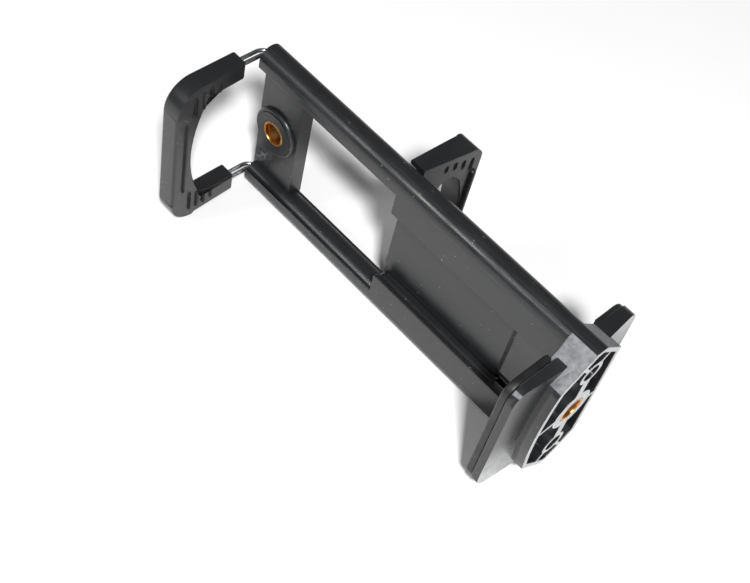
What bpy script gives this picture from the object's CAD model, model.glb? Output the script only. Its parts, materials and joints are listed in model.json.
# Double-sided spring clamp for a tripod: finishes, moulding radii, inserts, springs and light
import json
import math

import bpy
from mathutils import Matrix, Vector


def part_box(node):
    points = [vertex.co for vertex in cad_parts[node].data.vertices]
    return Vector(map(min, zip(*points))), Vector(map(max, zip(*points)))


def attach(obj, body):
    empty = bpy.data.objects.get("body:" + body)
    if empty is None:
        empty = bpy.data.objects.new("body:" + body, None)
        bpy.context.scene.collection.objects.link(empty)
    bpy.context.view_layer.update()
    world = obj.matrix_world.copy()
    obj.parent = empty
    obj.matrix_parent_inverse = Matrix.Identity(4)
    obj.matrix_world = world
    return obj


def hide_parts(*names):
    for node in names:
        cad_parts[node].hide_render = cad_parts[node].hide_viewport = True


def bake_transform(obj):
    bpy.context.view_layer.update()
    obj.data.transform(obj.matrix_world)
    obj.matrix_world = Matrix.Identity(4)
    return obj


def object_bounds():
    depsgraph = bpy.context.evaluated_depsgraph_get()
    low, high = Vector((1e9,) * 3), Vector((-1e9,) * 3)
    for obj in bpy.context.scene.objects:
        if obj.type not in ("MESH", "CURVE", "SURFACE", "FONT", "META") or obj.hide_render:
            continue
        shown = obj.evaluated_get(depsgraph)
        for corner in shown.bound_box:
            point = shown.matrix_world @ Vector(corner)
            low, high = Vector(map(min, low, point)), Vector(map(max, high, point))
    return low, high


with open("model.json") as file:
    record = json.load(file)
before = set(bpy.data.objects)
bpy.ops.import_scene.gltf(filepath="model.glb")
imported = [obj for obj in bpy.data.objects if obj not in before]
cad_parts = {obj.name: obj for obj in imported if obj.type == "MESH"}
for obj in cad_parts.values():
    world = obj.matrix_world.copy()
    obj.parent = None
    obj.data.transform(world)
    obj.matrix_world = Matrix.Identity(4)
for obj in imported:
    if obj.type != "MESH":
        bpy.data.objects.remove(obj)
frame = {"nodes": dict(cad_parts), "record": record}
cadLow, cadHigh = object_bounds()
mm = 0.001
print("stage: CAD frame loaded", len(frame["nodes"]), "nodes")


# Camera, placed where the photograph was taken from
cameraSetup = {
    "place": (-59.94 * mm, 187.43 * mm, 269.23 * mm),
    "right": (-0.6696, -0.7237, 0.1669),
    "up": (0.6569, -0.4722, 0.5878),
    "back": (-0.3466, 0.5032, 0.7916),
    "lens": 61.2,
    "sensor": 36,
    "nearest": 0.005,
}
cameraData = bpy.data.cameras.new("camera")
camera = bpy.data.objects.new("camera", cameraData)
bpy.context.scene.collection.objects.link(camera)
cameraTurn = Matrix([cameraSetup["right"], cameraSetup["up"], cameraSetup["back"]]).transposed()
camera.matrix_world = Matrix.Translation(cameraSetup["place"]) @ cameraTurn.to_4x4()
cameraData.lens = cameraSetup["lens"]
cameraData.sensor_width = cameraSetup["sensor"]
cameraData.clip_start = cameraSetup["nearest"]
bpy.context.scene.camera = camera
print("stage: camera placed")


def hexColour(text):
    # sRGB hex to the linear values that the shader wants
    parts = [int(text[i : i + 2], 16) / 255 for i in (1, 3, 5)]
    return [p / 12.92 if p <= 0.04045 else ((p + 0.055) / 1.055) ** 2.4 for p in parts] + [1.0]


def addNode(tree, kind, settings=None, links=None, stops=(), **fields):
    # one node with its fields, input values, incoming links and, for a ramp, its stops
    node = tree.nodes.new(kind)
    for name, value in fields.items():
        setattr(node, name, value)
    for name, value in (settings or {}).items():
        node.inputs[name].default_value = value
    for name, socket in (links or {}).items():
        tree.links.new(socket, node.inputs[name])
    for index, (position, colour) in enumerate(stops):
        node.color_ramp.elements[index].position = position
        node.color_ramp.elements[index].color = hexColour(colour)
    return node


def newMaterial(name):
    material = bpy.data.materials.new(name)
    material.use_nodes = True
    tree = material.node_tree
    tree.nodes.clear()
    output = tree.nodes.new("ShaderNodeOutputMaterial")
    coords = tree.nodes.new("ShaderNodeTexCoord")
    return material, tree, output, coords


# Where the ABS is rubbed, etched or scuffed, in metres, and how rough each finish is
absFinish = {
    "rails": (0.0212, 0.0222),  # distance from the middle, over which the rubbed rails fade in
    "railHalf": 0.0042,  # half the height of the rubbed strip
    "roofSlope": (0.76, 0.07),  # a roof's normal along Z, and how far it may differ
    "roofDepth": 0.0085,  # the roofs end here along X
    "roofOut": 0.0118,  # the normal along Z times the place along Z is more on outer roofs
    "endFacing": -0.9,  # the normal along X is less on faces turned to the near end
    "rimDepth": 0.0003,  # the scuffed rims end here along X
    "restDepth": 0.0064,  # the scuffed rests end here along X
    "restCorner": (-0.00006, -0.00042),  # Y times Z, from no scuffing to all of it
    "speck": 0.085,  # radius of a dust speck, as a share of its cell
    "dustFrom": 0.56,  # value of the flow marks from which dust lies
    "satin": (0.27, 0.36),
    "rubbed": (0.2, 0.5),
    "etched": 0.62,
    "grainStrength": 0.16,
    "etchStrength": 0.9,  # added to the grain on the etched roofs
}


def mouldedAbs():
    # Black ABS from a spark-eroded mould: near black, with a fine grain and a satin sheen
    material, tree, output, coords = newMaterial("mouldedAbs")
    place = coords.outputs["Object"]
    split = addNode(tree, "ShaderNodeSeparateXYZ", links={"Vector": place})
    away = addNode(tree, "ShaderNodeMath", links={0: split.outputs["Z"]}, operation="ABSOLUTE")
    # grain pitch 0.35 mm, so about 1000 / 0.35 cells per metre
    grain = addNode(
        tree, "ShaderNodeTexNoise", {"Scale": 2900, "Detail": 3, "Roughness": 0.6},
        {"Vector": place},
    )
    # flow marks 9 mm apart
    flow = addNode(
        tree, "ShaderNodeTexNoise", {"Scale": 110, "Detail": 4, "Distortion": 0.6},
        {"Vector": place},
    )
    tint = addNode(tree, "ShaderNodeValToRGB", links={"Fac": flow.outputs["Fac"]},
                   stops=[(0.3, "#1a1b1d"), (0.7, "#202123")])
    # rubbing marks run along the rails, 12 mm long and 0.5 mm wide
    along = addNode(tree, "ShaderNodeMapping", {"Scale": (85, 1900, 1900)}, {"Vector": place})
    rub = addNode(
        tree, "ShaderNodeTexNoise", {"Scale": 1.0, "Detail": 5, "Roughness": 0.65},
        {"Vector": along.outputs[0]},
    )
    rubbed = addNode(
        tree, "ShaderNodeMapRange",
        {
            "From Min": 0.35, "From Max": 0.68,
            "To Min": absFinish["rubbed"][0], "To Max": absFinish["rubbed"][1],
        },
        {"Value": rub.outputs["Fac"]},
    )
    rail = addNode(
        tree, "ShaderNodeMapRange",
        {"From Min": absFinish["rails"][0], "From Max": absFinish["rails"][1]},
        {"Value": away.outputs[0]},
    )
    height = addNode(tree, "ShaderNodeMath", links={0: split.outputs["Y"]}, operation="ABSOLUTE")
    low = addNode(
        tree, "ShaderNodeMath", {1: absFinish["railHalf"]}, {0: height.outputs[0]},
        operation="LESS_THAN",
    )
    railSide = addNode(
        tree, "ShaderNodeMath", links={0: rail.outputs[0], 1: low.outputs[0]},
        operation="MULTIPLY",
    )
    # the sloping outer roofs of the base block are etched deeper, so that they scatter the light
    facing = tree.nodes.new("ShaderNodeNewGeometry")
    normals = addNode(
        tree, "ShaderNodeSeparateXYZ", links={"Vector": facing.outputs["True Normal"]},
    )
    tilt = addNode(tree, "ShaderNodeMath", links={0: normals.outputs["Z"]}, operation="ABSOLUTE")
    steep = addNode(
        tree, "ShaderNodeMath", {1: absFinish["roofSlope"][0], 2: absFinish["roofSlope"][1]},
        {0: tilt.outputs[0]}, operation="COMPARE",
    )
    atBase = addNode(
        tree, "ShaderNodeMath", {1: absFinish["roofDepth"]}, {0: split.outputs["X"]},
        operation="LESS_THAN",
    )
    outward = addNode(
        tree, "ShaderNodeMath", links={0: normals.outputs["Z"], 1: split.outputs["Z"]},
        operation="MULTIPLY",
    )
    outside = addNode(
        tree, "ShaderNodeMath", {1: absFinish["roofOut"]}, {0: outward.outputs[0]},
        operation="GREATER_THAN",
    )
    steepBase = addNode(
        tree, "ShaderNodeMath", links={0: steep.outputs[0], 1: atBase.outputs[0]},
        operation="MULTIPLY",
    )
    roof = addNode(
        tree, "ShaderNodeMath", links={0: steepBase.outputs[0], 1: outside.outputs[0]},
        operation="MULTIPLY",
    )
    cloud = addNode(
        tree, "ShaderNodeTexNoise", {"Scale": 520, "Detail": 5, "Roughness": 0.7},
        {"Vector": place},
    )
    pale = addNode(tree, "ShaderNodeValToRGB", links={"Fac": cloud.outputs["Fac"]},
                   stops=[(0.3, "#5c5d60"), (0.7, "#8b8c90")])
    roofTint = addNode(
        tree, "ShaderNodeMixRGB",
        links={0: roof.outputs[0], 1: tint.outputs["Color"], 2: pale.outputs["Color"]},
    )
    # faces turned to the near end are scuffed pale, in 2 mm patches
    endOn = addNode(
        tree, "ShaderNodeMath", {1: absFinish["endFacing"]}, {0: normals.outputs["X"]},
        operation="LESS_THAN",
    )
    rim = addNode(
        tree, "ShaderNodeMath", {1: absFinish["rimDepth"]}, {0: split.outputs["X"]},
        operation="LESS_THAN",
    )
    corner = addNode(
        tree, "ShaderNodeMath", links={0: split.outputs["Y"], 1: split.outputs["Z"]},
        operation="MULTIPLY",
    )
    restEnd = addNode(
        tree, "ShaderNodeMapRange",
        {"From Min": absFinish["restCorner"][0], "From Max": absFinish["restCorner"][1]},
        {"Value": corner.outputs[0]},
    )
    block = addNode(
        tree, "ShaderNodeMath", {1: absFinish["restDepth"]}, {0: split.outputs["X"]},
        operation="LESS_THAN",
    )
    rest = addNode(
        tree, "ShaderNodeMath", links={0: restEnd.outputs[0], 1: block.outputs[0]},
        operation="MULTIPLY",
    )
    nearEnd = addNode(
        tree, "ShaderNodeMath", links={0: rim.outputs[0], 1: rest.outputs[0]},
        operation="MAXIMUM",
    )
    scuffed = addNode(
        tree, "ShaderNodeMath", links={0: endOn.outputs[0], 1: nearEnd.outputs[0]},
        operation="MULTIPLY",
    )
    chalk = addNode(tree, "ShaderNodeValToRGB", links={"Fac": cloud.outputs["Fac"]},
                    stops=[(0.3, "#8f9092"), (0.65, "#bdbebf")])
    endTint = addNode(
        tree, "ShaderNodeMixRGB",
        links={0: scuffed.outputs[0], 1: roofTint.outputs[0], 2: chalk.outputs["Color"]},
    )
    # dust specks 0.3 mm across, at most one in each cell of 1.8 mm
    spots = addNode(tree, "ShaderNodeTexVoronoi", {"Scale": 560}, {"Vector": place})
    dots = addNode(
        tree, "ShaderNodeMath", {1: absFinish["speck"]}, {0: spots.outputs["Distance"]},
        operation="LESS_THAN",
    )
    dusty = addNode(
        tree, "ShaderNodeMath", {1: absFinish["dustFrom"]}, {0: flow.outputs["Fac"]},
        operation="GREATER_THAN",
    )
    dust = addNode(
        tree, "ShaderNodeMath", links={0: dots.outputs[0], 1: dusty.outputs[0]},
        operation="MULTIPLY",
    )
    colour = addNode(
        tree, "ShaderNodeMixRGB", {2: hexColour("#8d8e8c")},
        {0: dust.outputs[0], 1: endTint.outputs[0]},
    )
    # satin on the flat faces, rubbed smoother and streaky on the rails, dull on the etched roofs
    satin = addNode(
        tree, "ShaderNodeMapRange",
        {
            "From Min": 0.3, "From Max": 0.7,
            "To Min": absFinish["satin"][0], "To Max": absFinish["satin"][1],
        },
        {"Value": flow.outputs["Fac"]},
    )
    onRail = addNode(
        tree, "ShaderNodeMix",
        links={0: railSide.outputs[0], 2: satin.outputs[0], 3: rubbed.outputs[0]},
    )
    rough = addNode(
        tree, "ShaderNodeMix", {3: absFinish["etched"]},
        {0: roof.outputs[0], 2: onRail.outputs[0]},
    )
    strength = addNode(
        tree, "ShaderNodeMath", {1: absFinish["etchStrength"], 2: absFinish["grainStrength"]},
        {0: roof.outputs[0]}, operation="MULTIPLY_ADD",
    )
    bump = addNode(tree, "ShaderNodeBump", {"Distance": 0.00006},
                   {"Height": grain.outputs["Fac"], "Strength": strength.outputs[0]})
    shader = addNode(
        tree, "ShaderNodeBsdfPrincipled", {"IOR": 1.56},
        {
            "Base Color": colour.outputs[0], "Roughness": rough.outputs[0],
            "Normal": bump.outputs["Normal"],
        },
    )
    tree.links.new(shader.outputs[0], output.inputs["Surface"])
    return material


def nitrileRubber():
    # Moulded nitrile rubber: darker and duller than the ABS, with a soft pebbled skin
    material, tree, output, coords = newMaterial("nitrileRubber")
    place = coords.outputs["Object"]
    # pebbles 0.6 mm across
    pebble = addNode(tree, "ShaderNodeTexVoronoi", {"Scale": 1700}, {"Vector": place})
    bloom = addNode(tree, "ShaderNodeTexNoise", {"Scale": 260, "Detail": 5}, {"Vector": place})
    tint = addNode(tree, "ShaderNodeValToRGB", links={"Fac": bloom.outputs["Fac"]},
                   stops=[(0.35, "#141415"), (0.75, "#1f1f20")])
    dull = addNode(
        tree, "ShaderNodeMapRange",
        {"From Min": 0.35, "From Max": 0.7, "To Min": 0.42, "To Max": 0.6},
        {"Value": bloom.outputs["Fac"]},
    )
    bump = addNode(
        tree, "ShaderNodeBump", {"Distance": 0.00005, "Strength": 0.3},
        {"Height": pebble.outputs["Distance"]},
    )
    shader = addNode(
        tree, "ShaderNodeBsdfPrincipled", {"IOR": 1.52},
        {
            "Base Color": tint.outputs["Color"], "Roughness": dull.outputs[0],
            "Normal": bump.outputs["Normal"],
        },
    )
    tree.links.new(shader.outputs[0], output.inputs["Surface"])
    return material


def turnedBrass():
    # Free-cutting brass turned on a lathe: warm, with fine rings and slight tarnish in the hollows
    material, tree, output, coords = newMaterial("turnedBrass")
    place = coords.outputs["Object"]
    tarnish = addNode(tree, "ShaderNodeTexNoise", {"Scale": 420, "Detail": 4}, {"Vector": place})
    tint = addNode(tree, "ShaderNodeValToRGB", links={"Fac": tarnish.outputs["Fac"]},
                   stops=[(0.3, "#a8753e"), (0.7, "#dcab6c")])
    # turning marks 0.2 mm apart, read as a fine noise
    marks = addNode(tree, "ShaderNodeTexNoise", {"Scale": 5200, "Detail": 2}, {"Vector": place})
    rough = addNode(
        tree, "ShaderNodeMapRange",
        {"From Min": 0.3, "From Max": 0.7, "To Min": 0.24, "To Max": 0.42},
        {"Value": tarnish.outputs["Fac"]},
    )
    bump = addNode(
        tree, "ShaderNodeBump", {"Distance": 0.00002, "Strength": 0.25},
        {"Height": marks.outputs["Fac"]},
    )
    shader = addNode(
        tree, "ShaderNodeBsdfPrincipled", {"Metallic": 1.0},
        {
            "Base Color": tint.outputs["Color"], "Roughness": rough.outputs[0],
            "Normal": bump.outputs["Normal"],
        },
    )
    tree.links.new(shader.outputs[0], output.inputs["Surface"])
    return material


def drawnSteel():
    # Cold-drawn spring steel, nickel plated: bright, with faint draw lines
    material, tree, output, coords = newMaterial("drawnSteel")
    place = coords.outputs["Object"]
    # draw lines 0.25 mm apart across the wire, 8 mm long
    stretch = addNode(tree, "ShaderNodeMapping", {"Scale": (120, 4200, 4200)}, {"Vector": place})
    lines = addNode(
        tree, "ShaderNodeTexNoise", {"Scale": 1.0, "Detail": 3}, {"Vector": stretch.outputs[0]},
    )
    rough = addNode(
        tree, "ShaderNodeMapRange",
        {"From Min": 0.3, "From Max": 0.7, "To Min": 0.18, "To Max": 0.32},
        {"Value": lines.outputs["Fac"]},
    )
    bump = addNode(
        tree, "ShaderNodeBump", {"Distance": 0.00001, "Strength": 0.15},
        {"Height": lines.outputs["Fac"]},
    )
    shader = addNode(
        tree, "ShaderNodeBsdfPrincipled", {"Metallic": 1.0, "Base Color": hexColour("#b9bbbd")},
        {"Roughness": rough.outputs[0], "Normal": bump.outputs["Normal"]},
    )
    tree.links.new(shader.outputs[0], output.inputs["Surface"])
    return material


slotMaterials = {
    "plastic": mouldedAbs(), "rubber": nitrileRubber(), "brass": turnedBrass(),
    "steel": drawnSteel(),
}
nodeSlots = {part["node"]: part["material_slot"] for part in frame["record"]["subparts"]}
for name, cadObject in frame["nodes"].items():
    cadObject.data.materials.clear()
    cadObject.data.materials.append(slotMaterials[nodeSlots[name]])
print("stage: materials made")

# What every moulding shares
mouldRules = {
    "sharp": 38,  # degrees, from which an edge counts as sharp and is rounded
    "flat": 0.5,  # degrees, up to which two faces are one flat
    "weld": 1e-6,  # metres, up to which two vertices are one
    "smooth": 40,  # degrees, up to which the shading runs on across an edge
    "evenness": 70,  # how much the large faces set the shading of the rounds
}
reach = 60  # millimetres, past the part along Y and Z


def makeActive(piece):
    bpy.ops.object.select_all(action="DESELECT")
    piece.select_set(True)
    bpy.context.view_layer.objects.active = piece


def applyAll(piece):
    makeActive(piece)
    for modifier in list(piece.modifiers):
        bpy.ops.object.modifier_apply(modifier=modifier.name)


def smoothFaces(piece, degrees):
    # smooth across the rounds only, with the large faces kept flat
    makeActive(piece)
    bpy.ops.object.shade_smooth_by_angle(angle=math.radians(degrees))
    even = piece.modifiers.new("even", "WEIGHTED_NORMAL")
    even.keep_sharp = True
    even.weight = mouldRules["evenness"]
    applyAll(piece)


def inside(point, low, high):
    return all(low[i] * mm <= point[i] <= high[i] * mm for i in range(3))


def softenEdges(piece, low, high, width, segments, shortest=0.0):
    # rounds the sharp edges longer than shortest whose middle lies in the box low to high, in mm
    makeActive(piece)
    bpy.ops.object.mode_set(mode="EDIT")
    bpy.ops.mesh.select_mode(type="EDGE")
    bpy.ops.mesh.select_all(action="DESELECT")
    bpy.ops.mesh.edges_select_sharp(sharpness=math.radians(mouldRules["sharp"]))
    bpy.ops.object.mode_set(mode="OBJECT")
    mesh = piece.data
    for edge in mesh.edges:
        if edge.select:
            a, b = (mesh.vertices[v].co for v in edge.vertices)
            middle = (a + b) / 2
            edge.select = inside(middle, low, high) and (a - b).length > shortest * mm
    for vertex in mesh.vertices:
        vertex.select = False
    for edge in mesh.edges:
        if edge.select:
            for v in edge.vertices:
                mesh.vertices[v].select = True
    bpy.ops.object.mode_set(mode="EDIT")
    bpy.ops.mesh.bevel(
        offset=width * mm, segments=segments, profile=0.5, affect="EDGES", clamp_overlap=False,
    )
    bpy.ops.object.mode_set(mode="OBJECT")


def mergeFlats(piece):
    # coplanar faces become one, so that the shading stays even across a flat
    makeActive(piece)
    bpy.ops.object.mode_set(mode="EDIT")
    bpy.ops.mesh.select_all(action="SELECT")
    bpy.ops.mesh.dissolve_limited(angle_limit=math.radians(mouldRules["flat"]))
    bpy.ops.object.mode_set(mode="OBJECT")


def mouldingFrom(node, name):
    # a merged copy of a CAD node, which takes the moulding radii that the CAD leaves out
    piece = bpy.data.objects.new(name, frame["nodes"][node].data.copy())
    bpy.context.scene.collection.objects.link(piece)
    makeActive(piece)
    bpy.ops.object.mode_set(mode="EDIT")
    bpy.ops.mesh.select_all(action="SELECT")
    bpy.ops.mesh.remove_doubles(threshold=mouldRules["weld"])
    bpy.ops.object.mode_set(mode="OBJECT")
    return piece


def pullStrays(piece, node, limit):
    # where short edges meet, a bevel can throw a vertex off the moulding: it goes back to the CAD
    solid = frame["nodes"][node]
    group = piece.vertex_groups.new(name="stray")
    strays = 0
    for vertex in piece.data.vertices:
        found, point = solid.closest_point_on_mesh(vertex.co)[:2]
        if found and (point - vertex.co).length > limit * mm:
            group.add([vertex.index], 1, "REPLACE")
            strays += 1
    wrap = piece.modifiers.new("wrap", "SHRINKWRAP")
    wrap.target = solid
    wrap.vertex_group = group.name
    applyAll(piece)
    piece.vertex_groups.clear()
    print("stage: strays pulled back on", piece.name, strays)


def standFor(piece, node):
    # the piece takes the place, the body and the finish of one CAD node
    piece.data.materials.clear()
    piece.data.materials.append(slotMaterials[nodeSlots[node]])
    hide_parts(node)


# Frame moulding: small radii where a finger meets it, finer ones on the rims of the end face
frameEdges = {
    "faces": 0.35,  # flanges, rests, block and cross plate
    "faceSegments": 3,
    "facesFrom": (6.9, -reach, -reach),
    "facesTo": (107, reach, reach),
    "rims": 0.22,  # thin walls round the cells of the end face
    "rimSegments": 2,
    "rimsFrom": (-0.01, -12, -30),
    "rimsTo": (0.01, 16, 30),
    "stray": 0.2,  # how far off the CAD a vertex may be
}
frameMoulding = mouldingFrom("frame", "frameMoulding")
softenEdges(
    frameMoulding, frameEdges["rimsFrom"], frameEdges["rimsTo"], frameEdges["rims"],
    frameEdges["rimSegments"],
)
softenEdges(
    frameMoulding, frameEdges["facesFrom"], frameEdges["facesTo"], frameEdges["faces"],
    frameEdges["faceSegments"],
)
pullStrays(frameMoulding, "frame", frameEdges["stray"])
mergeFlats(frameMoulding)
standFor(frameMoulding, "frame")
smoothFaces(frameMoulding, mouldRules["smooth"])
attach(frameMoulding, "frame")
print("stage: frame moulding, polygons", len(frameMoulding.data.polygons))

# Jaw mouldings: generous radii on the outside, none inside the grip slots
jawEdges = {
    "segments": 3,
    "phone": 0.4,
    "phoneFrom": (60, -reach, -reach),
    "phoneTo": (80, -4.5, reach),
    "phoneShortest": 0.5,  # edges up to this length stay sharp
    "phoneStray": 0.3,
    "tablet": 0.9,
    "tabletFrom": (110, 8, -reach),
    "tabletTo": (140, 40, reach),
    "tabletShortest": 0.95,
}
phoneMoulding = mouldingFrom("phone_jaw", "phoneJawMoulding")
softenEdges(
    phoneMoulding, jawEdges["phoneFrom"], jawEdges["phoneTo"], jawEdges["phone"],
    jawEdges["segments"], jawEdges["phoneShortest"],
)
pullStrays(phoneMoulding, "phone_jaw", jawEdges["phoneStray"])
mergeFlats(phoneMoulding)
standFor(phoneMoulding, "phone_jaw")
smoothFaces(phoneMoulding, mouldRules["smooth"])
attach(phoneMoulding, "phone_jaw")

tabletMoulding = mouldingFrom("tablet_jaw", "tabletJawMoulding")
mergeFlats(tabletMoulding)
softenEdges(
    tabletMoulding, jawEdges["tabletFrom"], jawEdges["tabletTo"], jawEdges["tablet"],
    jawEdges["segments"], jawEdges["tabletShortest"],
)
standFor(tabletMoulding, "tablet_jaw")
smoothFaces(tabletMoulding, mouldRules["smooth"])
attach(tabletMoulding, "tablet_jaw")
print(
    "stage: jaw mouldings, polygons", len(phoneMoulding.data.polygons),
    len(tabletMoulding.data.polygons),
)

# Rubber pads: soft edges round the face that grips
padEdges = {"tablet": 0.8, "phone": 0.5, "segments": 4, "slack": 0.05}
for node, name, width in (
    ("tablet_rest_pad", "tabletPad", padEdges["tablet"]),
    ("phone_rest_pad", "phonePad", padEdges["phone"]),
):
    pad = mouldingFrom(node, name)
    mergeFlats(pad)
    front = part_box(node)[1].x / mm
    nearest, farthest = front - padEdges["slack"], front + padEdges["slack"]
    softenEdges(
        pad, (nearest, -reach, -reach), (farthest, reach, reach), width, padEdges["segments"],
    )
    standFor(pad, node)
    smoothFaces(pad, mouldRules["smooth"])
    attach(pad, "frame")
print("stage: rubber pads")


def turned(name, rings, sides):
    # a closed ring of revolution about X, from (distance along X, radius) pairs in mm
    bpy.ops.object.select_all(action="DESELECT")
    along, radius = rings[0]
    bpy.ops.mesh.primitive_circle_add(
        vertices=sides, radius=radius * mm, location=(along * mm, 0, 0),
        rotation=(0, math.radians(90), 0),
    )
    piece = bpy.context.active_object
    piece.name = name
    bpy.ops.object.transform_apply(location=True, rotation=True, scale=True)
    bpy.ops.object.mode_set(mode="EDIT")
    bpy.ops.mesh.select_mode(type="EDGE")
    bpy.ops.mesh.select_all(action="SELECT")
    for along2, radius2 in rings[1:] + rings[:1]:
        bpy.ops.mesh.extrude_region_move(
            TRANSFORM_OT_translate={"value": ((along2 - along) * mm, 0, 0)},
        )
        size = radius2 / radius
        bpy.ops.transform.resize(value=(1, size, size), center_override=(along2 * mm, 0, 0))
        along, radius = along2, radius2
    bpy.ops.mesh.select_all(action="SELECT")
    bpy.ops.mesh.remove_doubles(threshold=mouldRules["weld"])
    bpy.ops.mesh.normals_make_consistent(inside=False)
    bpy.ops.object.mode_set(mode="OBJECT")
    return piece


def threadRidge(name, settings, turns):
    # the ridge of an inside thread about X: one triangle, wound by a Screw modifier
    pitch = settings["pitch"]
    # a circle of three points with a radius of 0.5 is this wide and high: its tip points along Y,
    # and its centre lies a third of the way up
    wide, high = 0.866, 0.75
    bpy.ops.object.select_all(action="DESELECT")
    bpy.ops.mesh.primitive_circle_add(vertices=3, radius=0.5 * mm)
    piece = bpy.context.active_object
    piece.name = name
    bpy.ops.object.mode_set(mode="EDIT")
    bpy.ops.mesh.select_all(action="SELECT")
    bpy.ops.transform.rotate(value=math.radians(90), orient_axis="X", center_override=(0, 0, 0))
    bpy.ops.object.mode_set(mode="OBJECT")
    tall = settings["root"] - settings["crest"]
    place = Matrix.Translation((settings["start"] * mm, 0, (settings["root"] - tall / 3) * mm))
    size = Matrix.Diagonal((pitch * settings["share"] / wide, 1, -tall / high, 1))
    piece.matrix_world = place @ size
    bpy.ops.object.transform_apply(location=True, rotation=True, scale=True)
    screw = piece.modifiers.new("screw", "SCREW")
    screw.axis = "X"
    screw.angle = math.radians(360)
    screw.steps = screw.render_steps = settings["steps"]
    screw.screw_offset = pitch * mm
    screw.iterations = turns
    applyAll(piece)
    closeEnds(piece)
    return piece


def closeEnds(piece):
    makeActive(piece)
    bpy.ops.object.mode_set(mode="EDIT")
    bpy.ops.mesh.select_mode(type="VERT")
    bpy.ops.mesh.select_all(action="SELECT")
    bpy.ops.mesh.fill_holes(sides=0)
    bpy.ops.mesh.select_all(action="SELECT")
    bpy.ops.mesh.normals_make_consistent(inside=False)
    bpy.ops.object.mode_set(mode="OBJECT")


def joinTo(piece, others):
    makeActive(piece)
    for other in others:
        other.select_set(True)
    bpy.ops.object.join()


def setPlace(piece, matrix):
    # the place goes into the mesh, and the object stays at the origin
    piece.matrix_world = matrix
    makeActive(piece)
    bpy.ops.object.transform_apply(location=True, rotation=True, scale=True)


# Brass inserts for the quarter inch tripod screw: 20 threads per inch
insertShape = {
    "outside": 4.1,  # radius, as are the bore, the root and the crest
    "bore": 3.2,
    "thread": {
        "pitch": 1.27, "root": 3.3, "crest": 2.5, "start": 0.95,
        "share": 0.84,  # width of the ridge, as a share of the pitch
        "steps": 40,
    },
    "plain": 1.4,  # least length without thread, both ends together
    "mouth": 0.45,  # chamfer at the mouth
    "edge": 0.18,  # chamfer on the outside
    "groove": (0.45, 0.5, 0.62, 0.67),  # shares of the length where its sides begin and end
    "grooveDepth": 0.2,
    "sides": 64,
    "smooth": 35,
}


def brassInsert(name, node, length, matrix):
    outside, mouth, edge = insertShape["outside"], insertShape["mouth"], insertShape["edge"]
    bore, thread = insertShape["bore"], insertShape["thread"]
    inGroove = outside - insertShape["grooveDepth"]
    sideStart, floorStart, floorEnd, sideEnd = (length * share for share in insertShape["groove"])
    body = turned(name, [
        (0, bore + mouth / 2), (0, outside - edge), (edge, outside), (sideStart, outside),
        (floorStart, inGroove), (floorEnd, inGroove), (sideEnd, outside),
        (length - edge, outside), (length, outside - edge), (length, bore + mouth / 2),
        (length - mouth, bore), (mouth, bore),
    ], insertShape["sides"])
    turns = int((length - insertShape["plain"]) / thread["pitch"])
    joinTo(body, [threadRidge(name + "Thread", thread, turns)])
    setPlace(body, matrix)
    standFor(body, node)
    smoothFaces(body, insertShape["smooth"])
    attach(body, "frame")


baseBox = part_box("base_insert")
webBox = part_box("web_insert")
brassInsert(
    "baseInsertThreaded", "base_insert", (baseBox[1].x - baseBox[0].x) / mm,
    Matrix.Translation((baseBox[0].x, 0, 0)),
)
webLength = (webBox[1].y - webBox[0].y) / mm
webPlace = Matrix.Translation(((webBox[0].x + webBox[1].x) / 2, webBox[1].y, 0))
webTurn = Matrix.Rotation(math.radians(-90), 4, "Z")
brassInsert("webInsertThreaded", "web_insert", webLength, webPlace @ webTurn)
print("stage: threaded inserts")

# Tension springs of round wire, with an eye round a pin or a wire at each end
springShape = {
    # the wire and the outside are diameters
    "phone": {"wire": 0.5, "outside": 2.8, "pitch": 0.56},
    "tablet": {"wire": 0.55, "outside": 3.4, "pitch": 0.62},
    "around": 14,  # sides of a turn
    "section": 8,  # sides of the wire
    "eyeSides": 28,
    "pin": 0.6,  # radius of the pin in an eye
    "play": 0.05,  # between the pin and the eye
    "overlap": 0.1,  # how far a lead runs into its eye and its turn, both together
    "wireHalf": 0.62,  # half the bent wire that a tablet spring pulls, rounded from 0.625
    "smooth": 60,
}


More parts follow.
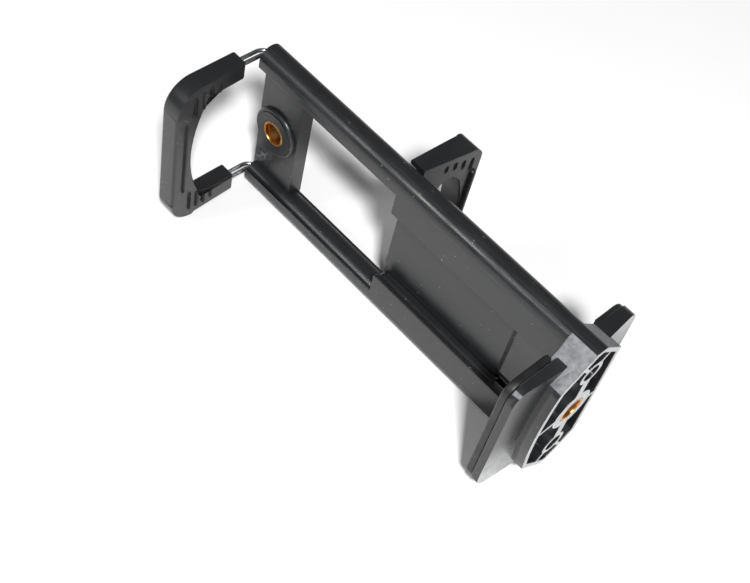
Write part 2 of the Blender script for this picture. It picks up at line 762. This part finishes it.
def tensionSpring(name, node, kind, fixedPin, movingX, axisZ):
    # fixedPin and movingX are the middles of the two eyes along X
    shape = springShape[kind]
    wire = shape["wire"]
    middle = (shape["outside"] - wire) / 2
    eye = springShape["pin"] + wire / 2 + springShape["play"]
    start, end = fixedPin + eye, movingX - eye
    turns = int((end - start) / shape["pitch"])
    pitch = (end - start) / turns
    bpy.ops.object.select_all(action="DESELECT")
    bpy.ops.mesh.primitive_circle_add(
        vertices=springShape["section"], radius=wire / 2 * mm,
        rotation=(math.radians(90), 0, 0),
    )
    coil = bpy.context.active_object
    coil.name = name
    bpy.ops.object.transform_apply(location=True, rotation=True, scale=True)
    bpy.ops.object.mode_set(mode="EDIT")
    bpy.ops.mesh.select_all(action="SELECT")
    bpy.ops.transform.translate(value=(start * mm, 0, middle * mm))
    bpy.ops.object.mode_set(mode="OBJECT")
    screw = coil.modifiers.new("screw", "SCREW")
    screw.axis = "X"
    screw.steps = screw.render_steps = springShape["around"]
    screw.screw_offset = pitch * mm
    screw.iterations = turns
    applyAll(coil)
    closeEnds(coil)
    eyes = []
    for x in (fixedPin, movingX):
        bpy.ops.object.select_all(action="DESELECT")
        bpy.ops.mesh.primitive_torus_add(
            major_segments=springShape["eyeSides"], minor_segments=springShape["section"],
            major_radius=eye * mm, minor_radius=wire / 2 * mm, location=(x * mm, 0, 0),
            rotation=(math.radians(90), 0, 0),
        )
        eyes.append(bpy.context.active_object)
        bpy.ops.object.transform_apply(location=True, rotation=True, scale=True)
    # a short straight lead from each eye to the first and last turn
    for x in (start, end):
        bpy.ops.object.select_all(action="DESELECT")
        bpy.ops.mesh.primitive_cylinder_add(
            vertices=springShape["section"], radius=wire / 2 * mm,
            depth=(middle + springShape["overlap"]) * mm, location=(x * mm, 0, middle / 2 * mm),
        )
        eyes.append(bpy.context.active_object)
        bpy.ops.object.transform_apply(location=True, rotation=True, scale=True)
    joinTo(coil, eyes)
    setPlace(coil, Matrix.Translation((0, 0, axisZ)))
    standFor(coil, node)
    smoothFaces(coil, springShape["smooth"])
    # the stretch begins and ends 0.4 mm inside the turns, so that both eyes keep their shape
    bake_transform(coil)


for word in ("upper", "lower"):
    pinLow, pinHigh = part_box("base_pin_" + word)
    farLow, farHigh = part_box("slider_pin_" + word)
    tensionSpring(
        "phoneSpring" + word.capitalize(), "phone_spring_" + word, "phone",
        (pinLow.x + pinHigh.x) / 2 / mm, (farLow.x + farHigh.x) / 2 / mm,
        (pinLow.z + pinHigh.z) / 2,
    )
    pinLow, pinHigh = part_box("tablet_pin_" + word)
    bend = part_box("wire_" + word)[0].x / mm + springShape["wireHalf"]
    tensionSpring(
        "tabletSpring" + word.capitalize(), "tablet_spring_" + word, "tablet",
        (pinLow.x + pinHigh.x) / 2 / mm, bend, (pinLow.z + pinHigh.z) / 2,
    )
print("stage: springs")

# Rubber lip bar of the phone jaw
lipShape = {"smooth": 50}
lip = mouldingFrom("phone_jaw_lip", "phoneLipBar")
mergeFlats(lip)
standFor(lip, "phone_jaw_lip")
smoothFaces(lip, lipShape["smooth"])
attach(lip, "phone_jaw")

# White paper floor under the lowest point of the part
floorSetup = {"height": cadLow.z, "size": 6.0, "shades": (0.94, 0.96)}
bpy.ops.object.select_all(action="DESELECT")
bpy.ops.mesh.primitive_plane_add(size=floorSetup["size"], location=(0, 0, floorSetup["height"]))
floor = bpy.context.active_object
floor.name = "floor"
floorMaterial, tree, output, coords = newMaterial("paleFloor")
speck = addNode(
    tree, "ShaderNodeTexNoise", {"Scale": 40, "Detail": 2},
    {"Vector": coords.outputs["Object"]},
)
shade = addNode(
    tree, "ShaderNodeMapRange",
    {"To Min": floorSetup["shades"][0], "To Max": floorSetup["shades"][1]},
    {"Value": speck.outputs["Fac"]},
)
paper = addNode(tree, "ShaderNodeBsdfDiffuse", {}, {"Color": shade.outputs[0]})
tree.links.new(paper.outputs[0], output.inputs["Surface"])
floor.data.materials.append(floorMaterial)

# Three square lamps: the direction each stands in, its distance and side in metres, and its watts
lampSetup = {
    "keyLamp": ((-0.43, 0.42, 0.8), 1.3, 0.14, 20),
    "cornerLamp": ((0.33, 0.72, 0.6), 1.2, 0.3, 3),
    "endLamp": ((-0.9, -0.4, 0.3), 1.2, 0.5, 0.6),
}
lampAim = Vector((0.06, 0, 0))  # the middle of the part
for name, (direction, distance, side, watts) in lampSetup.items():
    data = bpy.data.lights.new(name, "AREA")
    data.size, data.energy = side, watts
    lamp = bpy.data.objects.new(name, data)
    bpy.context.scene.collection.objects.link(lamp)
    away = Vector(direction).normalized()
    lampTurn = away.to_track_quat("Z", "Y").to_matrix().to_4x4()
    lamp.matrix_world = Matrix.Translation(lampAim + away * distance) @ lampTurn

# Surroundings: a little even light on the part, and plain white where the camera looks past it
worldSetup = {"light": 0.15, "seen": 1.0}
world = bpy.data.worlds.new("world")
bpy.context.scene.world = world
world.use_nodes = True
tree = world.node_tree
tree.nodes.clear()
output = tree.nodes.new("ShaderNodeOutputWorld")
path = tree.nodes.new("ShaderNodeLightPath")
soft = addNode(
    tree, "ShaderNodeBackground", {"Color": (1, 1, 1, 1), "Strength": worldSetup["light"]},
)
white = addNode(
    tree, "ShaderNodeBackground", {"Color": (1, 1, 1, 1), "Strength": worldSetup["seen"]},
)
mix = addNode(
    tree, "ShaderNodeMixShader",
    links={0: path.outputs["Is Camera Ray"], 1: soft.outputs[0], 2: white.outputs[0]},
)
tree.links.new(mix.outputs[0], output.inputs["Surface"])
bpy.context.scene.view_settings.view_transform = "Standard"
print("stage: floor and light ready")
